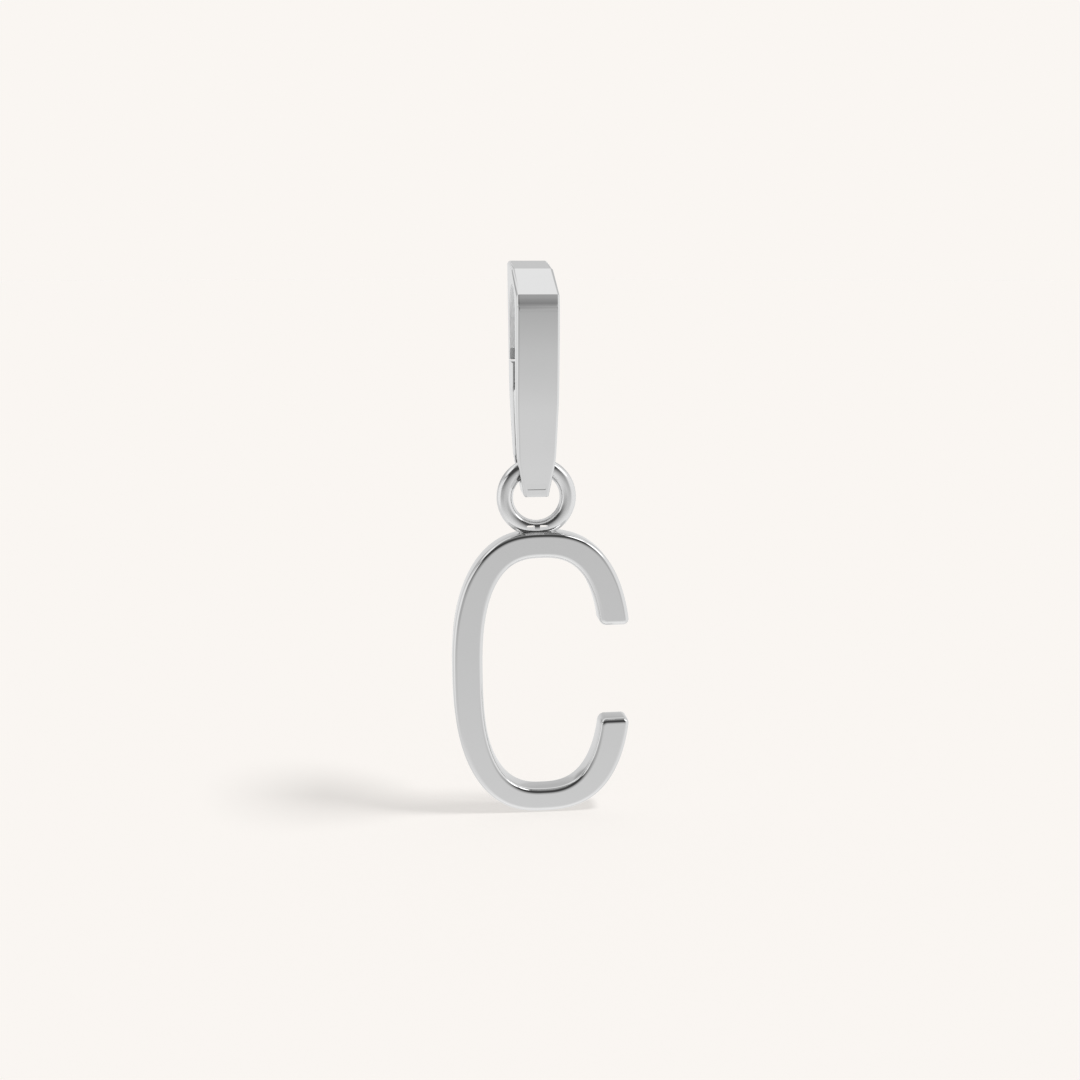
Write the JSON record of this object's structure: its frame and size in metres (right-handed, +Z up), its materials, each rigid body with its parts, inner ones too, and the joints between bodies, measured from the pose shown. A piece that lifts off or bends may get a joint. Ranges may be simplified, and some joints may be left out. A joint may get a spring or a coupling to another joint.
{
  "type": "initial pendant",
  "caption": "Polished silver letter C pendant soldered to a round-wire ring, hanging in an openable strap bail with a hinged back gate.",
  "frame": {"origin": "the chain's seat: the top of the bail's inside, midway over its width", "axes": "+Z up, the letter's front faces -Y and its mouth opens towards +X"},
  "size_m": [0.0082, 0.0051, 0.0252],
  "materials": {
    "letter_silver": "mirror-polished silver",
    "bail_silver": "mirror-polished silver",
    "pin_silver": "polished silver wire"
  },
  "bodies": {
    "hook": {"bail": "bail_silver", "hinge_pin": "pin_silver"},
    "gate": {"gate": "bail_silver"},
    "initial": {"initial": "letter_silver"}
  },
  "joints": [
    {"name": "gate_hinge", "type": "hinge", "parent": "hook", "child": "gate", "pos_m": [0, 0.00033, -0.00859], "axis": [-1, 0, 0], "range_deg": [0, 70]},
    {"name": "ring_swing", "type": "hinge", "parent": "hook", "child": "initial", "pos_m": [0.00008, -0.0007, -0.00946], "axis": [0, 1, 0], "range_deg": [-60, 60]}
  ]
}
